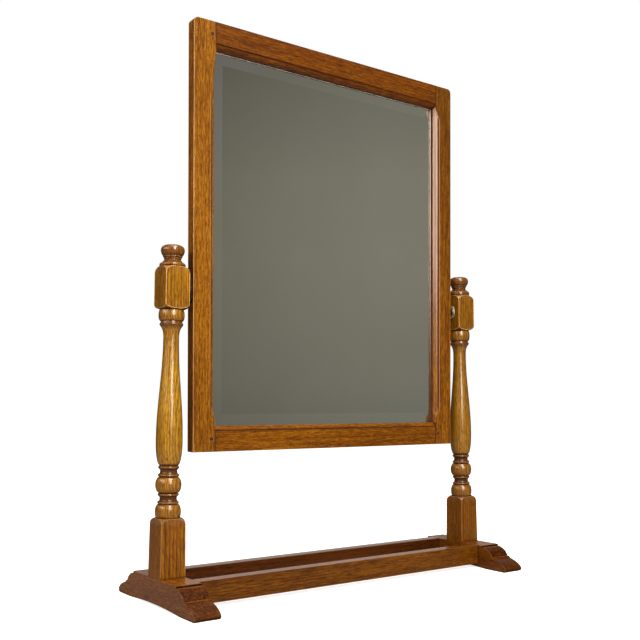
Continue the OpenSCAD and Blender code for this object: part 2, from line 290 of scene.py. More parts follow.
def creaseMask(tree, coords, creases):
    # painted shade lines along the work: each crease is (across, height, reach) in mm, front and back alike
    flat = put(tree, "CombineXYZ", {0: sizeOf(tree, coords, "Y"), 1: axisOf(tree, coords, "Z")}).outputs[0]
    lines = []
    for place, height, reach in creases:
        away = vectorMaths(tree, "DISTANCE", flat, (place * mm, height * mm, 0))["Value"]
        lines.append(rampOver(tree, away, reach, [(0.35 * reach, 1), (reach, 0)]))
    return most(tree, *lines)


# a ramp holds 32 stops, so the bands go six to a ramp
bandCut = {"tallest": 500, "blur": 0.5, "perRamp": 6}


def bandMask(tree, coords, bands):
    # how strongly each height is touched: bands are (low, high, share) in mm
    height, blur, many = axisOf(tree, coords, "Z"), bandCut["blur"], bandCut["perRamp"]
    touched = []
    for start in range(0, len(bands), many):
        stops = [(0, 0)]
        for low, high, share in bands[start:start + many]:
            stops += [(low - blur, 0), (low + blur, share), (high - blur, share), (high + blur, 0)]
        touched.append(rampOver(tree, height, bandCut["tallest"], stops))
    return most(tree, *touched)


def footEndMask(tree, coords, end):
    # the moulded ends of a foot, not its flat sides or its narrow level fillets
    facing = facingOf(tree)
    beyond = over(tree, sizeOf(tree, coords, "Y"), end["from"] * mm)
    endwise = under(tree, sizeOf(tree, facing, "X"), end["sideways"])
    sloping = under(tree, axisOf(tree, facing, "Z"), end["level"])
    share = over(tree, axisOf(tree, coords, "Z"), end["fillet"] * mm)
    share = maths(tree, "MULTIPLY_ADD", share, end["upper"] - end["lower"], end["lower"])
    return times(tree, beyond, endwise, sloping, share)


def sightMasks(tree, coords, sight):
    # round the glass: painted shade on the flat lip, a painted sheen on the moulding, its quirk with the
    # open joints, and its arris, lighter partly from wear and partly as a painted highlight
    across, depth, height = sizeOf(tree, coords, "X"), axisOf(tree, coords, "Y"), axisOf(tree, coords, "Z")
    edge, top, bottom, slack = sight["across"], sight["top"], sight["bottom"], sight["slack"]
    # painted shade on the flat lip beside the glass
    lip = times(
        tree, under(tree, across, (edge + slack) * mm), under(tree, height, (top + slack) * mm),
        over(tree, height, (bottom - slack) * mm), over(tree, depth, sight["lipFrom"] * mm),
    )
    near = under(tree, across, (edge + sight["moulding"]) * mm)
    slanted = ramp(tree, sizeOf(tree, facingOf(tree), "X"), sight["slant"])
    bloom = times(tree, near, slanted, rampOver(tree, height, top, sight["bloomUp"]), without(tree, lip))

    if sight["upright"]:
        away = maths(tree, "SUBTRACT", across, edge * mm)
        (low, high), blur = sight["stops"], sight["stopBlur"]
        stops = [(low - blur, 0), (low + blur, 1), (high - blur, 1), (high + blur, 0)]
        run = rampOver(tree, height, top, stops)
    else:
        away = maths(tree, "ABSOLUTE", maths(tree, "SUBTRACT", height, (top + bottom) / 2 * mm))
        away = maths(tree, "SUBTRACT", away, (top - bottom) / 2 * mm)
        run = under(tree, across, edge * mm)
    front = times(tree, run, under(tree, depth, sight["frontTo"] * mm))
    outer, span = sight["moulding"], sight["span"]
    quirk, arris = (
        rampOver(tree, away, span, [(outer + place, value) for place, value in sight[line]])
        for line in ("quirkLine", "arrisLine")
    )
    joint = maths(tree, "ABSOLUTE", maths(tree, "SUBTRACT", across, edge * mm))
    joint = rampOver(tree, joint, span, sight["jointLine"])
    above, below = (top + slack / 2) * mm, (bottom - slack / 2) * mm
    outside = most(tree, over(tree, height, above), under(tree, height, below))
    quirk = most(tree, times(tree, quirk, front), times(tree, joint, outside))
    return lip, bloom, quirk, times(tree, arris, front)


grainTurn = {"Z": (0, 0, 0), "X": (0, -math.pi / 2, 0), "Y": (math.pi / 2, 0, 0)}
# run is how a pattern is drawn out along the grain: 1 is not at all
grainPatterns = {
    "fibre": {"scale": 650, "detail": 3, "roughness": 0.65},
    "pore": {"scale": 750, "detail": 1},
    "cloud": {"run": 0.3, "scale": 16, "detail": 3, "roughness": 0.6},
    "streak": {"run": 0.035, "scale": 170},
    "break": {"run": 0.12, "scale": 240, "detail": 3, "roughness": 0.6},
    "uneven": {"run": 0.4, "scale": 90, "detail": 3, "roughness": 0.6},
    "stripe": {"run": 0.02, "scale": 300},
    "endGrain": {"run": 1, "scale": 240, "detail": 3, "roughness": 0.7},
    "skin": {"run": 0.25, "scale": 70},
}


def grainPattern(tree, lain, kind, **changes):
    pattern = {"run": 1, "detail": 2, "roughness": 0.55, **grainPatterns[kind], **changes}
    drawn = vectorMaths(tree, "MULTIPLY", lain, (1, 1, pattern["run"]))[0]
    return noiseOf(tree, drawn, pattern["scale"], pattern["detail"], pattern["roughness"])


def growthRings(tree, lain, look):
    # yearly rings round the heart, swaying a little along the plank
    drawn = vectorMaths(tree, "MULTIPLY", lain, (1, 1, 0.15))[0]
    sway = put(tree, "TexNoise", {"Vector": drawn, "Scale": 12, "Detail": 2}).outputs["Color"]
    sway = vectorMaths(tree, "SUBTRACT", sway, (0.5, 0.5, 0.5))[0]
    swayed = vectorMaths(tree, "MULTIPLY_ADD", sway, (look["sway"], look["sway"], 0), lain)[0]
    flat = vectorMaths(tree, "MULTIPLY", swayed, (1, 1, 0))[0]
    radius = vectorMaths(tree, "LENGTH", flat)["Value"]
    rings = maths(tree, "FRACT", maths(tree, "MULTIPLY", radius, look["rings"]))
    return ramp(tree, rings, [(0, 0.05), (0.22, 0.25), (0.45, 0.85), (0.85, 1), (1, 0.05)])


def oakTone(tree, lain, look, fibre, cloud):
    # 0 is the darkest brown of the plank, 1 the lightest
    broken = ramp(tree, grainPattern(tree, lain, "break"), [(0.35, 0.25), (0.65, 1)])
    tone = times(tree, maths(tree, "SUBTRACT", growthRings(tree, lain, look), 0.6), broken)
    tone = maths(tree, "MULTIPLY_ADD", tone, look["ringShare"], 0.25)
    for pattern, share in (
        (grainPattern(tree, lain, "streak"), "streakShare"), (fibre, "fibreShare"), (cloud, "blotchShare"),
    ):
        tone = maths(tree, "MULTIPLY_ADD", pattern, look[share], tone)
    return put(tree, "MapRange", {0: tone, 1: look["toneFrom"], 2: look["toneTo"]}).outputs[0]


def oakColour(tree, coords, look, tone, poreTone):
    browns = [tuple(part * tint for part, tint in zip(brown, look["tint"])) for brown in look["browns"]]
    colour = ramp(tree, tone, list(zip((0, 0.33, 0.66, 1), browns)))
    if look["fade"]:
        # painted shade: darker towards the top
        low, high, share = look["fade"]
        height = axisOf(tree, coords, "Z")
        share = put(tree, "MapRange", {0: height, 1: low * mm, 2: high * mm, 3: 1, 4: share}).outputs[0]
        colour = put(tree, "VectorMath", {0: colour, "Scale": share}, operation="SCALE").outputs[0]
    # paler bands: partly paler wood, partly painted highlight
    if look["pale"]:
        colour = blend(tree, bandMask(tree, coords, look["pale"]), colour, look["paleTint"], "MULTIPLY")
    if look["glow"]:
        # a painted highlight: a pale stretch, strongest at one height
        middle, reach, tint = look["glow"]
        stops = [(middle - reach, 0), (middle, 1), (middle + reach, 0)]
        share = rampOver(tree, axisOf(tree, coords, "Z"), bandCut["tallest"], stops)
        colour = blend(tree, share, colour, tint, "MULTIPLY")
    return blend(tree, times(tree, poreTone, look["poreShare"]), colour, look["poreBrown"])


def rubbedArrises(tree, coords, look, openness, cloud):
    # painted highlight along the rounded arrises, partly also where hands have rubbed the colour off
    rounded = put(tree, "Bevel", {"Radius": look["wearReach"] * mm}, samples=6).outputs[0]
    turn = vectorMaths(tree, "DOT_PRODUCT", rounded, facingOf(tree))["Value"]
    edge = times(
        tree, ramp(tree, turn, [(0.86, 1), (0.99, 0)]), ramp(tree, openness, [(0.8, 0), (0.95, 1)]),
        ramp(tree, cloud, [(0.3, 0.35), (0.6, 1)]),
    )
    if look["wearBeyond"]:
        # a quarter of the wear and painted highlight is left on the inner arrises
        beyond = over(tree, sizeOf(tree, coords, "X"), look["wearBeyond"] * mm)
        edge = times(tree, edge, maths(tree, "MULTIPLY_ADD", beyond, 0.75, 0.25))
    if look["spared"]:
        edge = times(tree, edge, without(tree, bandMask(tree, coords, look["spared"])))
    return times(tree, edge, look["wearShare"])


def oldStain(tree, coords, lain, look, openness):
    # painted shade in corners, grooves and creases, with old stain in the grooves
    stained = ramp(tree, openness, [(look["stainFrom"], 1), (look["stainTo"], 0)])
    if look["bands"]:
        stained = most(tree, stained, bandMask(tree, coords, look["bands"]))
    if look["creases"]:
        stained = most(tree, stained, creaseMask(tree, coords, look["creases"]))
    uneven = ramp(tree, grainPattern(tree, lain, "uneven"), [(0.3, 0.6), (0.6, 1)])
    return times(tree, stained, look["stainShare"], uneven)


def makeOak(name, look):
    material, tree, shader = newTree(name)
    coords = put(tree, "TexCoord").outputs["Object"]
    lain = put(tree, "Mapping", {"Vector": coords, "Rotation": grainTurn[look["grain"]]}).outputs[0]
    lain = vectorMaths(tree, "SUBTRACT", lain, look["heart"])[0]
    fibre = grainPattern(tree, lain, "fibre", run=look["fibreRun"])
    poreTone = ramp(tree, grainPattern(tree, lain, "pore", run=look["poreRun"]), [(0.52, 0), (0.62, 1)])
    cloud = grainPattern(tree, lain, "cloud")
    # ambient occlusion: it drives the painted shade in hollows
    openness = put(tree, "AmbientOcclusion", {"Distance": look["stainReach"] * mm}, samples=6).outputs["AO"]

    colour = oakColour(tree, coords, look, oakTone(tree, lain, look, fibre, cloud), poreTone)
    # lighter arrises: partly rubbed wear, partly a painted highlight
    colour = blend(tree, rubbedArrises(tree, coords, look, openness, cloud), colour, look["wearBrown"])
    stained = oldStain(tree, coords, lain, look, openness)
    if look["sight"]:
        lip, bloom, quirk, arris = sightMasks(tree, coords, look["sight"])
        # painted shade on the lip, and the dark line in the quirk
        lip, quirk = times(tree, lip, look["lipShare"]), times(tree, quirk, look["quirkShare"])
        stained = most(tree, stained, lip, quirk)
        # a lighter arris line by the quirk: partly wear, partly painted highlight
        colour = blend(tree, times(tree, arris, look["arrisShare"]), colour, look["arrisBrown"])
        # painted sheen: a pale pinkish reflection on the moulding, growing upwards
        colour = blend(tree, times(tree, bloom, look["bloomShare"]), colour, look["bloom"])
        stripe = ramp(tree, grainPattern(tree, lain, "stripe"), [(0.35, 0.55), (0.6, 1)])
        colour = blend(tree, bloom, colour, stripe, "MULTIPLY")
    # painted shade and stain darken the hollows, grooves, creases, lip and quirk
    colour = blend(tree, stained, colour, look["stain"])

    coat = maths(tree, "MULTIPLY_ADD", stained, -0.75 * look["varnish"], look["varnish"])
    if look["dull"]:
        coat = times(tree, coat, without(tree, bandMask(tree, coords, look["dull"])))
    if look["footEnd"]:
        # end grain drinks the stain and stays dull
        end = footEndMask(tree, coords, look["footEnd"])
        endGrain = ramp(tree, grainPattern(tree, lain, "endGrain"), [(0.42, 0.3), (0.6, 1)])
        colour = blend(tree, end, colour, endGrain, "MULTIPLY")
        colour = blend(tree, end, colour, look["footEnd"]["tint"], "MULTIPLY")
        coat = times(tree, coat, maths(tree, "MULTIPLY_ADD", end, -0.9, 1.0))
    if look["limb"]:
        # painted shade: turned work darkens where it curves away from the eye
        away = put(tree, "LayerWeight", {"Blend": 0.5}).outputs["Facing"]
        shade = ramp(tree, away, [(0.56, 1), (0.62, 0.88), (0.82, 1 - look["limb"])])
        colour = blend(tree, 1.0, colour, shade, "MULTIPLY")
        coat = times(tree, coat, ramp(tree, away, [(0.6, 1), (0.9, 0.1)]))
    if look["topVarnish"]:
        # level tops keep their shine
        level = over(tree, axisOf(tree, facingOf(tree), "Z"), 0.5)
        coat = most(tree, coat, times(tree, level, look["topVarnish"]))
    tree.links.new(colour, shader.inputs["Base Color"])
    tree.links.new(coat, shader.inputs["Coat Weight"])

    rough = maths(tree, "MULTIPLY_ADD", cloud, 0.22, look["roughness"] - 0.11)
    rough = maths(tree, "MULTIPLY_ADD", poreTone, 0.15, rough)
    tree.links.new(rough, shader.inputs["Roughness"])
    height = maths(tree, "MULTIPLY_ADD", poreTone, -0.6, fibre)
    bump = {"Strength": look["bump"], "Distance": 0.25 * mm, "Height": height}
    tree.links.new(put(tree, "Bump", bump).outputs[0], shader.inputs["Normal"])
    skin = maths(tree, "MULTIPLY_ADD", height, look["openGrain"], grainPattern(tree, lain, "skin"))
    coatBump = {"Strength": look["coatBump"], "Distance": 0.5 * mm, "Height": skin}
    tree.links.new(put(tree, "Bump", coatBump).outputs[0], shader.inputs["Coat Normal"])
    shader.inputs["Specular IOR Level"].default_value = 0.05
    shader.inputs["Coat Roughness"].default_value = look["coatRoughness"]
    shader.inputs["Coat IOR"].default_value = 1.5
    return material


# browns run from dark to light; heart is in metres from the origin; reaches are in mm
oakBase = {
    "grain": "Z", "heart": (0.05, 0.03, 0), "rings": 380, "sway": 0.02,
    "browns": ((0.05, 0.013, 0.001), (0.115, 0.036, 0.0014), (0.19, 0.067, 0.0025), (0.28, 0.112, 0.008)),
    "tint": (1, 1, 1), "toneFrom": 0.7, "toneTo": 1.05,
    "ringShare": 0.1, "streakShare": 0.25, "fibreShare": 0.75, "blotchShare": 0.3,
    "fibreRun": 0.1, "poreRun": 0.2, "poreShare": 0.5, "poreBrown": (0.035, 0.01, 0.0015),
    "fade": (), "pale": (), "paleTint": (1.6, 2.2, 2.7), "glow": (),
    "wearReach": 1.6, "wearShare": 0.6, "wearBrown": (0.34, 0.15, 0.03), "wearBeyond": 0, "spared": (),
    "stain": (0.022, 0.006, 0.003), "stainReach": 5, "stainFrom": 0.45, "stainTo": 0.85, "stainShare": 0.9,
    "bands": (), "creases": (), "footEnd": None, "limb": 0,
    "sight": None, "lipShare": 0.7, "quirkShare": 0.75, "arrisShare": 0.15, "arrisBrown": (0.4, 0.2, 0.08),
    "bloomShare": 0, "bloom": (0.44, 0.32, 0.28),
    "varnish": 0.28, "topVarnish": 0, "dull": (), "coatRoughness": 0.24, "coatBump": 0.2,
    "roughness": 0.5, "bump": 0.35, "openGrain": 0.5,
}


def oak(name, **changes):
    return makeOak(name, {**oakBase, **changes})


def makeMetal(name, look):
    material, tree, shader = newTree(name)
    coords = put(tree, "TexCoord").outputs["Object"]
    cloud = noiseOf(tree, coords, 260, 4, 0.65)
    scratch = noiseOf(tree, put(tree, "Mapping", {"Vector": coords, "Scale": (1, 0.2, 1)}).outputs[0], 1500)
    tarnish = ramp(tree, cloud, [(0.35, 0), (0.62, 1)])
    tree.links.new(blend(tree, tarnish, look["bright"], look["dull"]), shader.inputs["Base Color"])
    rough = maths(tree, "MULTIPLY_ADD", tarnish, 0.25, look["roughness"])
    tree.links.new(rough, shader.inputs["Roughness"])
    height = maths(tree, "MULTIPLY_ADD", scratch, 0.5, cloud)
    bump = put(tree, "Bump", {"Strength": 0.3, "Distance": 0.08 * mm, "Height": height}).outputs[0]
    tree.links.new(bump, shader.inputs["Normal"])
    shader.inputs["Metallic"].default_value = look["metallic"]
    return material


def makePlate(name, look):
    # silvered plate: seen through the glass, its bevels turn light inwards, half as far as their slope
    material, tree, shader = newTree(name)
    coords = put(tree, "TexCoord").outputs["Object"]
    across, height = axisOf(tree, coords, "X"), axisOf(tree, coords, "Z")
    rimX, rimZ = look["rimAt"]
    haze = noiseOf(tree, coords, 7, 4, 0.6)
    silver = blend(tree, ramp(tree, haze, [(0.3, 0), (0.7, 1)]), look["silver"], look["hazy"])
    speck = ramp(tree, noiseOf(tree, coords, 420), [(0.72, 0), (0.8, 1)])
    silver = blend(tree, times(tree, speck, 0.35), silver, look["speck"])

    # a painted cool reflection on the bevels at the upper left
    slope = put(tree, "NewGeometry").outputs["True Normal"]
    upLeft = vectorMaths(tree, "DOT_PRODUCT", slope, (-1, 0, 1))["Value"]
    left, right = look["coolAcross"]
    fading = put(tree, "MapRange", {0: across, 1: left * mm, 2: right * mm, 3: 1, 4: 0}).outputs[0]
    cool = times(tree, over(tree, upLeft, 0.02), rampOver(tree, height, rimZ, look["coolUp"]), fading)
    tree.links.new(blend(tree, cool, silver, look["cool"]), shader.inputs["Base Color"])

    # a painted reflection: the light rim at the right and at the top, which fades downwards
    rim = most(tree, over(tree, across, rimX * mm), over(tree, height, rimZ * mm))
    rim = times(tree, rim, rampOver(tree, height, rimZ, look["rimUp"]))
    metal = maths(tree, "MULTIPLY_ADD", rim, -look["rimShare"], 1.0)
    tree.links.new(metal, shader.inputs["Metallic"])
    tree.links.new(times(tree, haze, look["dust"]), shader.inputs["Roughness"])
    turned = vectorMaths(tree, "MULTIPLY", slope, (look["prism"], 1, look["prism"]))[0]
    tree.links.new(vectorMaths(tree, "NORMALIZE", turned)[0], shader.inputs["Normal"])
    return material


# the turned posts: sizes are in mm, and heights run up each post from the top of its foot
standCut = {"footHeight": 37.4, "pivotHeight": 425.418, "lean": 1.0, "frameHalf": 242.7, "gap": 10.2}
turning = {
    "ball": 17.5, "vase": 18.0, "vaseFoot": 12.4, "vaseWidest": 181, "neck": 10.6, "button": 16.1,
    "baseHalf": 18.5, "baseNarrowing": 0.8, "pivotHalf": 17.7, "headTop": 29.2, "arris": 1.1, "cap": 4,
    "collar": 17.6, "steps": 96, "cutterSteps": 128,
}
# the radius that each block's shoulders turn down to, and how far they rise below and above
shoulders = {"base": (16, (0.5, 9.5)), "head": (15.5, (8, 11))}
# the pair was turned by eye, so each post has its own heights
marks = {
    -1: {"block": 79.3, "first": 97.7, "second": 133.9, "ball": 44.4, "head": 28.4, "lift": 0},
    1: {"block": 76.0, "first": 95.2, "second": 131.2, "ball": 48.2, "head": 29.9, "lift": 2.2},
}
footHeight, lean = standCut["footHeight"], math.radians(standCut["lean"])
pivotRise = standCut["pivotHeight"] - footHeight
pivotAlong = pivotRise / math.cos(lean)
postX = standCut["frameHalf"] + standCut["gap"] + turning["pivotHalf"] + math.tan(lean) * pivotRise


def swell(low, high, edge, middle, steps=14):
    centre, half = (low + high) / 2, (high - low) / 2
    angles = [math.radians(-90 + 180 * i / steps) for i in range(steps + 1)]
    return [(edge + (middle - edge) * math.cos(a), centre + half * math.sin(a)) for a in angles]


def bow(start, pull, end, steps=12):
    out = []
    for i in range(steps + 1):
        t = i / steps
        weights = ((1 - t) ** 2, 2 * t * (1 - t), t * t)
        out.append(tuple(sum(w * point[k] for w, point in zip(weights, (start, pull, end))) for k in (0, 1)))
    return out


def lowerTurning(side):
    mark = marks[side]
    big, vase, neck = turning["ball"], turning["vase"], turning["neck"]
    block, first, second = mark["block"], mark["first"], mark["second"]
    ball, head = pivotAlong - mark["ball"], pivotAlong - mark["head"]
    # two balls, each with a cove between two rings above it
    points = [(0, block - 12), (12, block - 12)] + swell(block - 3, first, 12.8, big, 22)
    points += swell(first + 0.2, first + 3.6, 13, 14.5, 10) + swell(first + 3.6, first + 11, 13.7, 11.5)
    points += swell(first + 11, first + 14.2, 12.8, 14.3, 10) + swell(first + 14.8, second, 12.3, big, 22)
    points += swell(second + 0.6, second + 4, 12.8, 14.4, 10) + swell(second + 4, second + 11.2, 13.7, 11.4)
    points += swell(second + 11.2, second + 14.8, 12.4, 14.2, 10)
    # the vase, full below and drawn out to its neck
    low, widest, high = second + 15.9, turning["vaseWidest"], ball - 23.1
    for i in range(1, 17):
        a = math.radians(-90 + 90 * i / 16)
        foot = turning["vaseFoot"]
        points.append((foot + (vase - foot) * math.cos(a), widest + (widest - low) * math.sin(a)))
    for i in range(1, 29):
        t = i / 28
        points.append((neck + (vase - neck) * (1 + math.cos(math.pi * t)) / 2, widest + (high - widest) * t))
    points += bow((neck, ball - 21), (neck, ball - 11.8), (14.8, ball - 6.9))
    points += swell(ball - 6.4, ball - 2.6, 14.9, 15.9, 8) + [(14.5, ball - 1.4), (14.5, ball - 0.4)]
    points += swell(ball, head, 15, big, 18) + [(13.6, head + 0.4), (13.6, head + 10), (0, head + 10)]
    return points


def upperTurning(side):
    button, wide = turning["button"], turning["collar"]
    collar = pivotAlong + turning["headTop"]
    cap = collar + turning["cap"] + marks[side]["lift"]
    points = [(0, collar - 9), (13.6, collar - 9), (16.6, collar - 0.2)]
    points += bow((wide - 0.8, collar + 0.3), (wide, collar + 0.5), (wide, collar + 1.6), 6)
    points += bow((wide, cap - 1.6), (wide, cap - 0.5), (wide - 0.8, cap), 6)
    points += bow((16.2, cap + 0.5), (13.4, cap + 1.9), (11.2, cap + 5.4)) + [(10.9, cap + 6.1)]
    points += swell(cap + 6.3, cap + 8.3, 11.1, 12, 8) + swell(cap + 8.7, cap + 10.7, 12.2, 13.2, 8)
    points += bow((13.5, cap + 11.2), (button - 0.5, cap + 13.4), (button, cap + 17.6))
    points += bow((button, cap + 18), (button - 0.1, cap + 23.6), (10, cap + 25.1))
    return points + [(2.5, cap + 25.8), (0, cap + 25.8)]


def shoulderProfile(low, high, corners, inner, rises):
    # the lathe's cut over a square block: corners are its half diagonals below and above
    outer = [corner + 0.3 for corner in corners]
    lower, upper = [], []
    for i in range(15):
        a = math.radians(90 * i / 14)
        lower.append((inner + (outer[0] - inner) * math.sin(a), low + rises[0] * (1 - math.cos(a))))
        upper.append((inner + (outer[1] - inner) * math.sin(a), high - rises[1] * (1 - math.cos(a))))
    return [(0, low)] + lower + upper[::-1] + [(0, high)]


def cutShoulders(block, profile):
    lathe = spinChain("shoulder_cutter", profile, turning["cutterSteps"])
    applyModifier(block, "BOOLEAN", operation="INTERSECT", solver="EXACT", object=lathe)
    bpy.data.objects.remove(lathe)


def modelPost(name, side, material):
    block = marks[side]["block"]
    headLow, headHigh = pivotAlong - marks[side]["head"], pivotAlong + turning["headTop"]
    low = spinChain(name, lowerTurning(side), turning["steps"])
    top = spinChain(name + "_button", upperTurning(side), turning["steps"])
    diagonal = math.sqrt(2)

    half = turning["baseHalf"]
    base = addBlock(name + "_base", (0, 0, block / 2 - 0.5), (2 * half, 2 * half, block + 1))
    pickWhere(base, lambda place: place.z > 0.5 * block)
    narrow = (half - turning["baseNarrowing"]) / half
    bpy.ops.transform.resize(value=(narrow, narrow, 1), center_override=(0, 0, 0))
    leaveEdit()
    corners = (half * diagonal, half * narrow * diagonal)
    cutShoulders(base, shoulderProfile(-1, block, corners, *shoulders["base"]))
    bevelArrises(base, turning["arris"])

    half = turning["pivotHalf"]
    size = (2 * half, 2 * half, headHigh - headLow)
    head = addBlock(name + "_head", (0, 0, (headLow + headHigh) / 2), size)
    corners = (half * diagonal, half * diagonal)
    cutShoulders(head, shoulderProfile(headLow, headHigh, corners, *shoulders["head"]))
    bevelArrises(head, turning["arris"])

    pick(low)
    for part in (top, base, head):
        part.select_set(True)
    bpy.ops.object.join()
    low.rotation_euler = Euler((0, -side * lean, 0))
    low.location = (side * postX * mm, 0, footHeight * mm)
    applyPlace(low)
    return settle(low, "stand", ["left_post" if side < 0 else "right_post"], material, 35)


def postBands(side):
    # stain and painted shade in the grooves, paler swells that are partly painted highlight, and square
    # blocks whose varnish is rubbed dull
    mark, pivot = marks[side], footHeight + pivotAlong
    block, first, second = (footHeight + mark[key] for key in ("block", "first", "second"))
    ball, head, collar = pivot - mark["ball"], pivot - mark["head"], pivot + turning["headTop"]
    cap = collar + turning["cap"] + mark["lift"]
    stain = [
        (footHeight - 1, footHeight + 1.2, 0.9),
        (first - 0.6, first + 0.8, 1), (first + 3.2, first + 11.4, 0.9), (first + 14, first + 15.6, 1),
        (second - 0.6, second + 1, 1), (second + 3.6, second + 11.6, 0.9), (second + 14.2, second + 17, 1),
        (ball - 8, ball + 0.6, 0.4), (collar - 1, collar + 0.6, 0.8), (collar + 1, cap, 0.3),
        (cap + 0.3, cap + 12.6, 0.6), (cap + 13, cap + 26, 0.2),
    ]
    # paler swells: partly paler wood, partly painted highlight
    pale = [
        (block, first, 0.35), (first + 15, second, 0.45), (second + 17, ball - 8, 1), (ball, head, 0.6),
        (head + 0.5, collar, 0.45),
    ]
    dull = [(footHeight - 1, block - 8, 0.7), (head + 8, collar - 9, 0.6)]
    spared = [(footHeight + 0.6, footHeight + 84, 0.7)]
    return {"bands": stain, "pale": pale, "dull": dull, "spared": spared}


# on the posts the light arris colour is mostly a painted highlight, with some wear
postLook = {
    "limb": 0.5, "toneFrom": 0.58, "toneTo": 1.17, "ringShare": 0.38, "fibreRun": 0.05, "poreRun": 0.14,
    "poreShare": 0.52, "varnish": 1.0, "wearShare": 0.95, "wearReach": 2.3, "wearBrown": (0.64, 0.39, 0.17),
}
# the left post's glow is a painted highlight on its vase
leftPostOak = oak(
    "left_post_oak", heart=(-0.33, 0.06, 0), tint=(0.81, 0.84, 0.6), glow=(290, 60, (1.3, 1.42, 1.6)),
    **postLook, **postBands(-1),
)
# the right post's darker tint is partly painted shade
rightPostOak = oak(
    "right_post_oak", heart=(0.22, 0.05, 0), tint=(0.65, 0.64, 0.48), **postLook, **postBands(1),
)
modelPost("left_post_turned", -1, leftPostOak)
modelPost("right_post_turned", 1, rightPostOak)
print("posts turned")


# feet and rails; acrossShare is how much of the full rounding the arrises across a foot have
footCut = {
    "reach": 116, "flat": 65.3, "width": 37.8, "rise": 3, "arch": 75.4, "arris": 1.3, "acrossShare": 0.3,
}


def footOutline():
    reach, flat, top = footCut["reach"], footCut["flat"], footHeight
    # toe, fillet, ovolo and step of one end
    half = [(reach - 5, 0), (reach - 2.8, 0.4), (reach - 1, 1.6)]
    half += bow((reach, 4), (reach - 1.9, 12.4), (reach - 24.6, 18.4), 14)
    half += [(reach - 25.4, 20.6), (reach - 29.4, 20.9)]
    half += bow((reach - 29.8, 21.2), (reach - 33.9, top - 5.7), (flat + 2.4, top - 2.9), 14)
    half += [(flat + 0.3, top - 2.7), (flat, top)]
    # the hollow underneath
    arch, rise = footCut["arch"], footCut["rise"]
    radius = (arch * arch + rise * rise) / (2 * rise)
    hollow = []
    for i in range(25):
        y = -arch + 2 * arch * i / 24
        hollow.append((y, rise - radius + math.sqrt(radius * radius - y * y)))
    return half + [(-y, z) for y, z in reversed(half)] + hollow


def modelFoot(name, side, material):
    piece = drawChain(name, footOutline())
    editAll(piece)
    bpy.ops.mesh.edge_face_add()
    bpy.ops.mesh.extrude_region_move(TRANSFORM_OT_translate={"value": (0, footCut["width"] * mm, 0)})
    bpy.ops.mesh.select_all(action="SELECT")
    bpy.ops.mesh.normals_make_consistent(inside=False)
    leaveEdit()
    piece.rotation_euler = Euler((0, 0, math.pi / 2))
    piece.location = ((side * postX + footCut["width"] / 2) * mm, 0, 0)
    applyPlace(piece)
    weighArrises(piece, lambda middle, along: footCut["acrossShare"] if abs(along.x) > 0.5 else 1.0)
    bevelByWeight(piece, footCut["arris"])
    return settle(piece, "stand", ["left_foot" if side < 0 else "right_foot"], material, 30)


# the feet get painted shade lines in their creases, and are darker along the bottom
footLook = {
    "grain": "Y", "creases": ((65.6, 35.4, 1.7), (87.0, 23.2, 1.6)), "bands": ((0.6, 2.2, 0.75),),
    "footEnd": {
        "from": 65.2, "fillet": 20, "upper": 1.0, "lower": 0.75, "sideways": 0.6, "level": 0.97,
        "tint": (0.55, 0.46, 0.42),
    },
    "wearShare": 0.4, "varnish": 0.55,
}
leftFootOak = oak("left_foot_oak", heart=(-0.33, 0.1, 0), tint=(0.68, 0.59, 0.6), **footLook)
rightFootOak = oak("right_foot_oak", heart=(0.2, 0.1, 0), tint=(0.54, 0.46, 0.5), **footLook)
modelFoot("left_foot_shaped", -1, leftFootOak)
modelFoot("right_foot_shaped", 1, rightFootOak)

railCut = {"length": 516.54, "entry": 2, "face": 55.6, "thick": 18.8, "low": 6.7, "high": 37.4, "arris": 0.9}


def modelRail(name, end, node, material):
    middle = end * (railCut["face"] - railCut["thick"] / 2)
    size = (railCut["length"] + railCut["entry"], railCut["thick"], railCut["high"] - railCut["low"])
    piece = addBlock(name, (0, middle, (railCut["high"] + railCut["low"]) / 2), size)
    bevelArrises(piece, railCut["arris"])
    return settle(piece, "stand", [node], material)


railLook = {"grain": "X", "poreShare": 0.35}
frontRailOak = oak(
    "front_rail_oak", heart=(-0.1, 0.03, 0), tint=(0.46, 0.42, 0.22), topVarnish=0.9, **railLook,
)
rearRailOak = oak(
    "rear_rail_oak", heart=(-0.1, 0.2, 0), tint=(0.23, 0.16, 0.15), varnish=0.7, topVarnish=1, **railLook,
)
modelRail("front_rail_planed", -1, "front_rail", frontRailOak)
modelRail("rear_rail_planed", 1, "rear_rail", rearRailOak)
print("feet and rails shaped")


# the mirror's frame, whose ovolo has a quirk and stops short on the stiles: above stopFrom it runs out,
# on the left stile leftStop times as slowly as it was cut
frameCut = {
    "arris": 1.0, "sightX": 208.3, "sightTop": 763.84, "sightBottom": 239.04, "frontY": -8, "backY": 8,
    "outerX": 242.7, "outerTop": 800.84, "outerBottom": 203.04, "ovolo": 9, "ovoloDepth": 8.5, "slim": 0.83,
    "pegX": 214.3, "pegHeights": (782.337, 221.037), "stopFrom": 730, "leftStop": 3,
}
# how much of the full rounding each kind of arris has
arrisShares = {"peg": 0.25, "joint": 0.3, "back": 0.5, "quirk": 0.5, "inner": 0.25, "outer": 1.0}


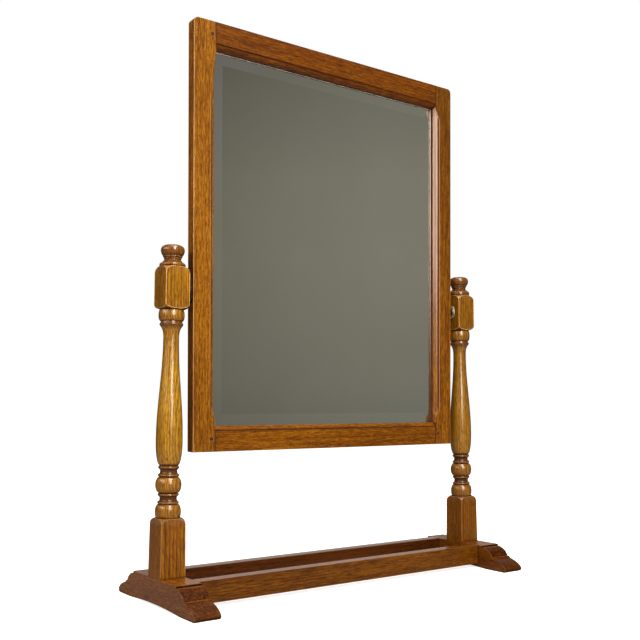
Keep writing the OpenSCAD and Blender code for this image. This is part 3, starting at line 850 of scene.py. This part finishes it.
def frameRule(middle, along):
    # outer arrises are worn round, joints and peg holes hardly at all
    across, depth, height = abs(middle.x), middle.y, middle.z
    sight, top, bottom = (frameCut[key] for key in ("sightX", "sightTop", "sightBottom"))
    if any(math.hypot(across - frameCut["pegX"], height - peg) < 5 for peg in frameCut["pegHeights"]):
        return arrisShares["peg"]
    if abs(across - sight) < 0.2 and not bottom - 0.1 < height < top + 0.1 and depth < 0:
        return arrisShares["joint"]
    if depth > frameCut["backY"] - 0.5:
        return arrisShares["back"]
    ovolo = frameCut["ovolo"] * frameCut["slim"]
    if abs(across - sight - ovolo) < 0.3 and bottom + 23 < height < top - 12:
        return arrisShares["quirk"]
    if across < sight and any(abs(abs(height - corner) - ovolo) < 0.3 for corner in (top, bottom)):
        return arrisShares["quirk"]
    low, high = frameCut["outerBottom"] + 1, frameCut["outerTop"] - 0.8
    within = across < frameCut["outerX"] - 1.7 and low < height < high
    if depth > frameCut["frontY"] + 0.6 and within:
        return arrisShares["inner"]
    return arrisShares["outer"]


def slimMoulding(piece, axis, corner, outward):
    # the ovolo is rubbed smaller: drawn in towards the corner it was worked from
    def onMoulding(place):
        away = outward * (place[axis] - corner)
        deep = place.y - frameCut["frontY"]
        onFace = 0.05 < away < frameCut["ovolo"] + 0.05 and -0.05 < deep < frameCut["ovoloDepth"] + 0.05
        return onFace or -0.05 < away < 0.05 and 0.05 < deep < frameCut["ovoloDepth"] + 0.05

    pickWhere(piece, onMoulding)
    middle = [0, frameCut["frontY"] * mm, 0]
    middle[axis] = corner * mm
    scale = [1, frameCut["slim"], 1]
    scale[axis] = frameCut["slim"]
    bpy.ops.transform.resize(value=scale, center_override=middle)
    leaveEdit()


def stretchStop(piece, reach):
    # the moulding dies away more slowly under the top rail
    def onStop(place):
        away = abs(place.x) - frameCut["sightX"]
        deep = place.y - frameCut["frontY"]
        onMoulding = -0.05 < away < frameCut["ovolo"] + 0.3 and -0.05 < deep < frameCut["ovoloDepth"] + 0.1
        return onMoulding and frameCut["stopFrom"] < place.z < frameCut["sightTop"] - 1

    pickWhere(piece, onStop)
    bpy.ops.transform.resize(value=(1, 1, reach), center_override=(0, 0, (frameCut["sightTop"] - 2) * mm))
    leaveEdit()


def modelFrameMember(name, node, material, axis, corner, outward, stop=1):
    piece = copyNode(node, name)
    slimMoulding(piece, axis, corner, outward)
    if stop > 1:
        stretchStop(piece, stop)
    weighArrises(piece, frameRule)
    bevelByWeight(piece, frameCut["arris"])
    return settle(piece, "mirror", [node], material, 30)


# lines are in mm from the moulding's outer edge, or from the joint; stops and the painted sheen's rise are
# heights
sightStile = {
    "across": frameCut["sightX"], "top": frameCut["sightTop"], "bottom": frameCut["sightBottom"],
    "slack": 0.4, "lipFrom": -1.0, "frontTo": -5.5, "moulding": 7.5, "upright": True,
    "stops": (259.7, 748.6), "stopBlur": 3.8, "span": 20,
    "slant": ((0.15, 0), (0.4, 1)), "bloomUp": ((320.8, 0.05), (420.1, 0.2), (504.1, 0.7), (595.8, 1)),
    "quirkLine": ((-2.4, 0), (-1.6, 1), (0, 1), (0.3, 0)), "jointLine": ((0.7, 1), (1.6, 0)),
    "arrisLine": ((0.2, 0), (0.6, 1), (1.4, 1), (2.4, 0)),
}
sightLeft = {**sightStile, "stops": (259.7, 698.9)}
sightRail = {**sightStile, "upright": False}
# the left stile's outer arris carries a painted highlight line, with some wear
leftStileOak = oak(
    "left_stile_oak", heart=(-0.3, 0.12, 0), tint=(0.84, 0.9, 0.7), wearShare=1, wearReach=2.2,
    wearBrown=(0.62, 0.36, 0.17), wearBeyond=230, sight=sightLeft,
)
# the right stile: its darker tint is partly painted shade, its fade towards the top is painted shade, and
# its moulding carries a painted sheen
rightStileOak = oak(
    "right_stile_oak", heart=(0.3, 0.15, 0), tint=(0.75, 0.74, 0.3), varnish=0.4, fade=(300, 760, 0.57),
    sight=sightStile, bloomShare=0.6, arrisShare=0.45, arrisBrown=(0.38, 0.2, 0.12), quirkShare=0.85,
)
topRailOak = oak(
    "top_rail_oak", grain="X", heart=(-0.86, 0.1, 0), tint=(0.48, 0.39, 0.1), wearShare=0.15,
    sight=sightRail, arrisShare=0,
)
bottomRailOak = oak(
    "bottom_rail_oak", grain="X", heart=(-0.16, 0.12, 0), tint=(0.66, 0.62, 0.16), wearShare=0.3,
    sight=sightRail, arrisShare=0,
)
sightX = frameCut["sightX"]
modelFrameMember("left_stile_moulded", "left_stile", leftStileOak, 0, -sightX, -1, frameCut["leftStop"])
modelFrameMember("right_stile_moulded", "right_stile", rightStileOak, 0, sightX, 1)
modelFrameMember("top_rail_moulded", "top_rail", topRailOak, 2, frameCut["sightTop"], 1)
modelFrameMember("bottom_rail_moulded", "bottom_rail", bottomRailOak, 2, frameCut["sightBottom"], -1)
print("mirror frame moulded")


# pegs, metal fittings, board and glass
pegOak = oak(
    "peg_end_oak", grain="Y", varnish=0.15,
    browns=((0.015, 0.004, 0.001), (0.03, 0.009, 0.002), (0.05, 0.015, 0.003), (0.07, 0.024, 0.005)),
)
boardWood = oak("back_board_wood", tint=(0.62, 0.66, 0.9), varnish=0.1, roughness=0.7)
wornBrass = makeMetal("worn_brass", {
    "bright": (0.6, 0.5, 0.36), "dull": (0.16, 0.11, 0.07), "roughness": 0.3, "metallic": 1.0,
})
rubbedPlate = makeMetal("rubbed_plate", {
    "bright": (0.62, 0.58, 0.48), "dull": (0.14, 0.1, 0.06), "roughness": 0.35, "metallic": 0.5,
})
darkSteel = makeMetal("dark_steel", {
    "bright": (0.05, 0.03, 0.02), "dull": (0.012, 0.007, 0.004), "roughness": 0.4, "metallic": 1.0,
})
# its cool cast and its light rim are painted reflections
mirrorSilver = makePlate("mirror_silver", {
    "silver": (0.84, 0.85, 0.82), "hazy": (0.8, 0.81, 0.77), "speck": (0.3, 0.29, 0.27), "dust": 0.02,
    "prism": -0.52, "cool": (0.93, 0.94, 1.0), "coolAcross": (-190, -90), "coolUp": ((533.8, 0), (709.2, 1)),
    "rimAt": (206.6, 762.6), "rimShare": 0.45,
    "rimUp": ((289.8, 0.05), (396.6, 0.45), (503.3, 0.8), (594.8, 1)),
})
# for each node: the ending of its copy's name, body, slot, material and arris
fittings = {
    "frame_pegs": ("_rounded", "mirror", "peg_oak", pegOak, 0.4),
    "post_pegs": ("_rounded", "stand", "peg_oak", pegOak, 0.3),
    "left_post_plate": ("_worn", "stand", "plate_brass", rubbedPlate, 0.4),
    "right_post_plate": ("_worn", "stand", "plate_brass", rubbedPlate, 0.4),
    "left_frame_plate": ("_worn", "mirror", "plate_steel", darkSteel, 0.4),
    "right_frame_plate": ("_worn", "mirror", "plate_steel", darkSteel, 0.4),
}
for node, (ending, body, materialSlot, material, width) in fittings.items():
    piece = copyNode(node, node + ending)
    bevelArrises(piece, width, 2)
    settle(piece, body, [node], material)

nodeFinish = {
    "mirror_glass": mirrorSilver, "back_board": boardWood, "back_screws": wornBrass,
    "post_plate_screws": wornBrass, "frame_plate_screws": darkSteel, "left_pivot_pin": darkSteel,
    "right_pivot_pin": darkSteel, "left_washer": wornBrass, "right_washer": wornBrass,
}
for node, material in nodeFinish.items():
    nodes[node].data.materials.clear()
    nodes[node].data.materials.append(material)
print("fittings finished")


# floor, room, lights and camera
floorLook = {
    "size": 14, "seen": (0.6, 0.6, 0.6), "mirrored": (0.3, 0.25, 0.22), "reach": 1.6,
    "lift": [(0.3, 0.75), (0.6, 1)],
}
cardLook = {
    "size": (5, 3.4), "place": (1.9, -2.4, 1.4), "turn": 38,
    "across": [
        (0.2, (0.112, 0.107, 0.083)), (0.386, (0.192, 0.183, 0.146)), (0.451, (0.216, 0.207, 0.168)),
        (0.53, (0.234, 0.226, 0.184)), (0.75, (0.24, 0.234, 0.192)),
    ],
    "up": [(0.1, 0.68), (0.2, 0.86), (0.38, 1), (0.5, 0.97), (0.66, 0.72), (0.8, 0.6)],
}
roomLook = {
    "paleEnd": (0.575, 0.791, 0.208), "fromLevel": [(0.05, 0), (0.11, 1)],
    "tones": [(0.3, (0.03, 0.025, 0.02)), (0.7, (0.14, 0.115, 0.1)), (0.92, (0.8, 0.68, 0.62))],
}
lightAim = (0, 0, 0.35)
# at is azimuth, height in degrees and distance; azimuth is 0 in front of the glass and positive to its right
softboxes = {
    "front_window": {"at": (-13, 25, 2.2), "size": (0.5, 1.6), "power": 78, "colour": (1.0, 0.88, 0.7)},
    "left_window": {"at": (-80, 24, 2.2), "size": (2.0, 1.4), "power": 17, "colour": (1.0, 0.86, 0.7)},
    "high_left_window": {"at": (-96, 24, 2.0), "size": (1.4, 0.6), "power": 16, "colour": (1.0, 0.84, 0.76)},
    "key_softbox": {"at": (-6, 58, 2.2), "size": (0.5, 0.5), "power": 42, "colour": (1.0, 0.96, 0.9)},
    "top_light": {"at": (0, 88, 2.6), "size": (1.6, 1.6), "power": 40, "colour": (1.0, 0.97, 0.94)},
}
view = {
    "place": (-808.2, -1081.2, 270.0), "yaw": 35.978, "pitch": 0.627, "roll": 0.082, "focal": 881.9,
    "row": 393.98, "pixels": 640, "sensor": 36,
}


def stagePlane(name, size, place, turn, material):
    deselectAll()
    bpy.ops.mesh.primitive_plane_add(size=1, location=place, rotation=turn)
    plane = bpy.context.object
    plane.name = name
    plane.scale = (size[0], size[1], 1)
    plane.data.materials.append(material)
    return plane


def floorMaterial():
    # pale to the eye with soft shadows close by, dull in the varnish
    material, tree, shader = newTree("pale_floor")
    shader.inputs["Roughness"].default_value = 0.9
    shader.inputs["Specular IOR Level"].default_value = 0.1
    seen = put(tree, "LightPath").outputs["Is Camera Ray"]
    tree.links.new(blend(tree, seen, floorLook["mirrored"], floorLook["seen"]), shader.inputs["Base Color"])
    coords = put(tree, "TexCoord").outputs["Object"]
    away = vectorMaths(tree, "LENGTH", coords)["Value"]
    lift = ramp(tree, times(tree, away, floorLook["size"] / floorLook["reach"]), floorLook["lift"])
    shader.inputs["Emission Color"].default_value = (1, 1, 1, 1)
    tree.links.new(times(tree, lift, seen), shader.inputs["Emission Strength"])
    return material


def cardMaterial():
    # grey wall in front of the plate, darker to its left and towards floor and ceiling
    material, tree, shader = newTree("grey_wall")
    coords = put(tree, "TexCoord").outputs["Object"]
    shade = ramp(tree, maths(tree, "ADD", axisOf(tree, coords, "X"), 0.5), cardLook["across"])
    height = ramp(tree, maths(tree, "ADD", axisOf(tree, coords, "Y"), 0.5), cardLook["up"])
    shader.inputs["Base Color"].default_value = (0, 0, 0, 1)
    shader.inputs["Specular IOR Level"].default_value = 0
    tree.links.new(shade, shader.inputs["Emission Color"])
    tree.links.new(height, shader.inputs["Emission Strength"])
    return material


def lightRoom():
    # white behind the object, dark in its varnish but for a pale end that level tops mirror
    world = bpy.data.worlds.new("studio")
    scene.world = world
    world.use_nodes = True
    tree = world.node_tree
    tree.nodes.clear()
    output = tree.nodes.new("ShaderNodeOutputWorld")
    facing = put(tree, "TexCoord").outputs["Generated"]
    toward = vectorMaths(tree, "DOT_PRODUCT", facing, roomLook["paleEnd"])["Value"]
    toward = times(tree, toward, ramp(tree, axisOf(tree, facing, "Z"), roomLook["fromLevel"]))
    room = put(tree, "Background", {"Color": ramp(tree, toward, roomLook["tones"]), "Strength": 1.0})
    backdrop = put(tree, "Background", {"Color": (1, 1, 1, 1), "Strength": 1.0})
    seen = put(tree, "LightPath").outputs["Is Camera Ray"]
    swap = put(tree, "MixShader", {0: seen, 1: room.outputs[0], 2: backdrop.outputs[0]})
    tree.links.new(swap.outputs[0], output.inputs[0])


def addSoftbox(name, box):
    azimuth, elevation = (math.radians(angle) for angle in box["at"][:2])
    aim = Vector(lightAim)
    level = Vector((math.sin(azimuth), -math.cos(azimuth), 0)) * math.cos(elevation)
    place = aim + box["at"][2] * (level + Vector((0, 0, math.sin(elevation))))
    lamp = bpy.data.lights.new(name, "AREA")
    lamp.shape = "RECTANGLE"
    lamp.size, lamp.size_y = box["size"]
    lamp.energy = box["power"]
    lamp.color = box["colour"]
    holder = bpy.data.objects.new(name, lamp)
    scene.collection.objects.link(holder)
    holder.location = place
    holder.rotation_euler = (aim - place).to_track_quat("-Z", "Y").to_euler()


def addCamera():
    data = bpy.data.cameras.new("camera")
    camera = bpy.data.objects.new("camera", data)
    scene.collection.objects.link(camera)
    scene.camera = camera
    data.sensor_width = view["sensor"]
    data.lens = view["focal"] * view["sensor"] / view["pixels"]
    data.shift_y = (view["row"] - view["pixels"] / 2) / view["pixels"]
    data.clip_start = 0.05
    camera.location = [value * mm for value in view["place"]]
    turn = Euler((math.radians(90 + view["pitch"]), 0, math.radians(-view["yaw"]))).to_matrix()
    camera.rotation_euler = (turn @ Matrix.Rotation(math.radians(view["roll"]), 3, "Z")).to_euler()


floorSize = (floorLook["size"], floorLook["size"])
stagePlane("pale_floor", floorSize, (0, 0, 0), (0, 0, 0), floorMaterial())
cardTurn = (math.pi / 2, 0, math.radians(cardLook["turn"]))
card = stagePlane("grey_wall", cardLook["size"], cardLook["place"], cardTurn, cardMaterial())
card.visible_camera = False
card.visible_shadow = False
card.visible_diffuse = False
lightRoom()
for name, box in softboxes.items():
    addSoftbox(name, box)
addCamera()
scene.view_settings.view_transform = "Standard"
scene.view_settings.look = "None"
print("studio set")

bpy.context.view_layer.update()
